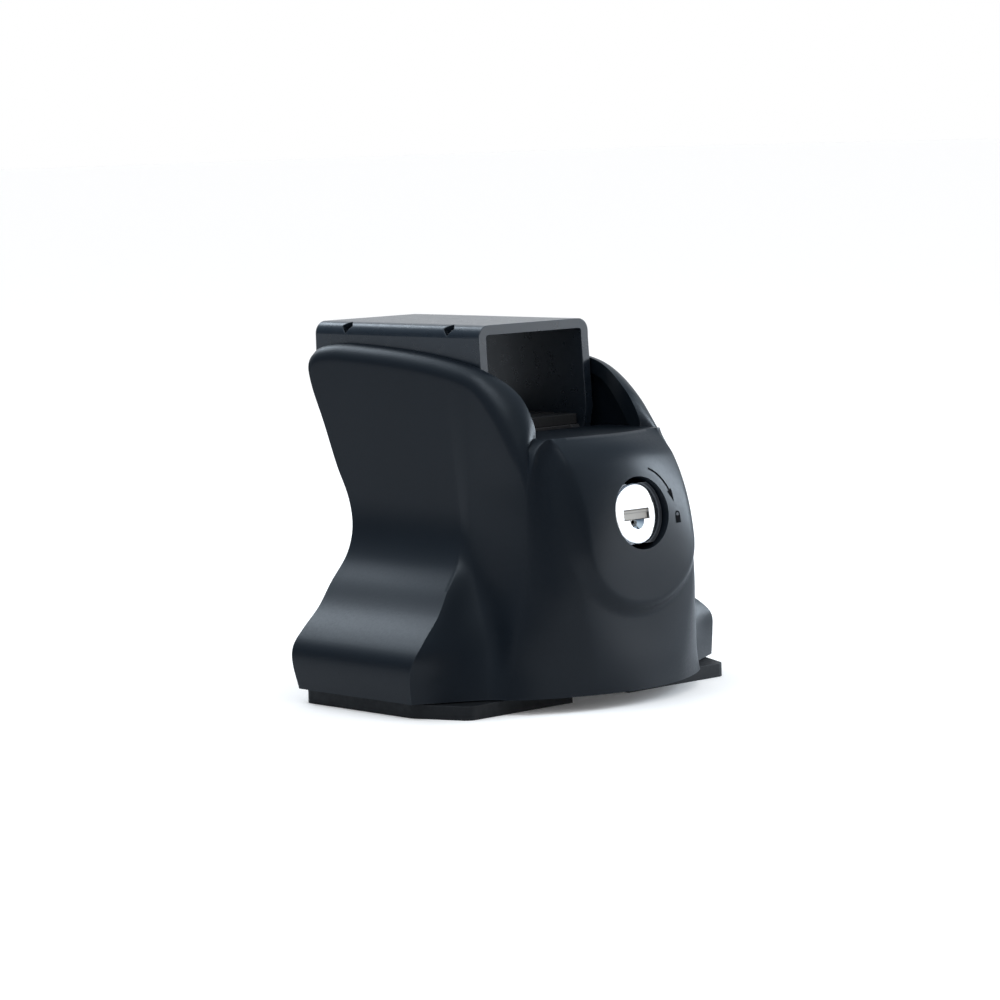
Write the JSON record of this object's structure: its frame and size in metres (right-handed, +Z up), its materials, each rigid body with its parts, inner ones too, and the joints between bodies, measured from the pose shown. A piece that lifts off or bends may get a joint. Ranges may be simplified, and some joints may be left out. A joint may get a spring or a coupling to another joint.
{
  "type": "roof bar foot",
  "caption": "Foot of a square-bar roof rack: a pressed bracket clamps the bar on a steel stay, under a lockable moulded hood with two toes.",
  "frame": {"origin": "bottom centre of the foot's box, on the underside of the base plate", "axes": "+X along the bar towards the lock, +Y across the foot, +Z up"},
  "size_m": [0.093, 0.0968, 0.0859],
  "materials": {
    "base_plate": "black powder coat",
    "stay": "black e-coat",
    "saddle_pad": "matt rubber",
    "rivet": "zinc plated",
    "bridge": "zinc plated",
    "bracket": "semi-gloss black paint",
    "clamp_screw": "black oxide",
    "bolt": "zinc plated",
    "clip": "spring steel, oiled",
    "nut_block": "zinc plated",
    "cover": "satin moulded resin with a fine grain",
    "lock_body": "die-cast zinc",
    "lock_face": "bright chrome",
    "shutter": "beige moulded dust shutter"
  },
  "bodies": {
    "frame": {"base_plate": "base_plate", "stay": "stay", "saddle_pad": "saddle_pad", "foot_rivets": "rivet", "bolt_bridge": "bridge", "bridge_rivets": "rivet", "clamp_screws": "clamp_screw", "clamp_nuts": "rivet"},
    "bracket": {"bar_bracket": "bracket"},
    "bolt": {"tension_bolt": "bolt", "bolt_washer": "bolt", "bolt_clip": "clip"},
    "block": {"nut_block": "nut_block"},
    "hood": {"cover": "cover", "lock_housing": "lock_body", "lock_nut": "bolt", "lock_washer": "bolt"},
    "plug": {"lock_rotor": "lock_face", "lock_cam": "bridge", "cam_screw": "bolt", "shutter_spring": "clip"},
    "shutter": {"key_shutter": "shutter"}
  },
  "joints": [
    {"name": "bracket_lift", "type": "slide", "parent": "frame", "child": "bracket", "axis": [0, 0, 1], "range_m": [0, 0.004]},
    {"name": "bolt_turn", "type": "hinge", "parent": "frame", "child": "bolt", "pos_m": [0.02, 0, 0.019], "axis": [-1, 0, 0], "range_deg": [0, 4320]},
    {"name": "block_slide", "type": "slide", "parent": "frame", "child": "block", "axis": [-1, 0, 0], "range_m": [0, 0.015]},
    {"name": "hood_slide", "type": "slide", "parent": "frame", "child": "hood", "axis": [1, 0, 0], "range_m": [0, 0.075]},
    {"name": "lock_turn", "type": "hinge", "parent": "hood", "child": "plug", "pos_m": [0.0359, 0, 0.04221], "axis": [-0.9903, 0, -0.1392], "range_deg": [0, 90]},
    {"name": "shutter_hinge", "type": "hinge", "parent": "plug", "child": "shutter", "pos_m": [0.04267, 0, 0.04361], "axis": [0, 1, 0], "range_deg": [0, 75], "stiffness_Nm_per_rad": 0.0001}
  ],
  "couplings": [
    {"joint": "block_slide", "follows": "bolt_turn", "m_per_rad": 0.00019894}
  ]
}
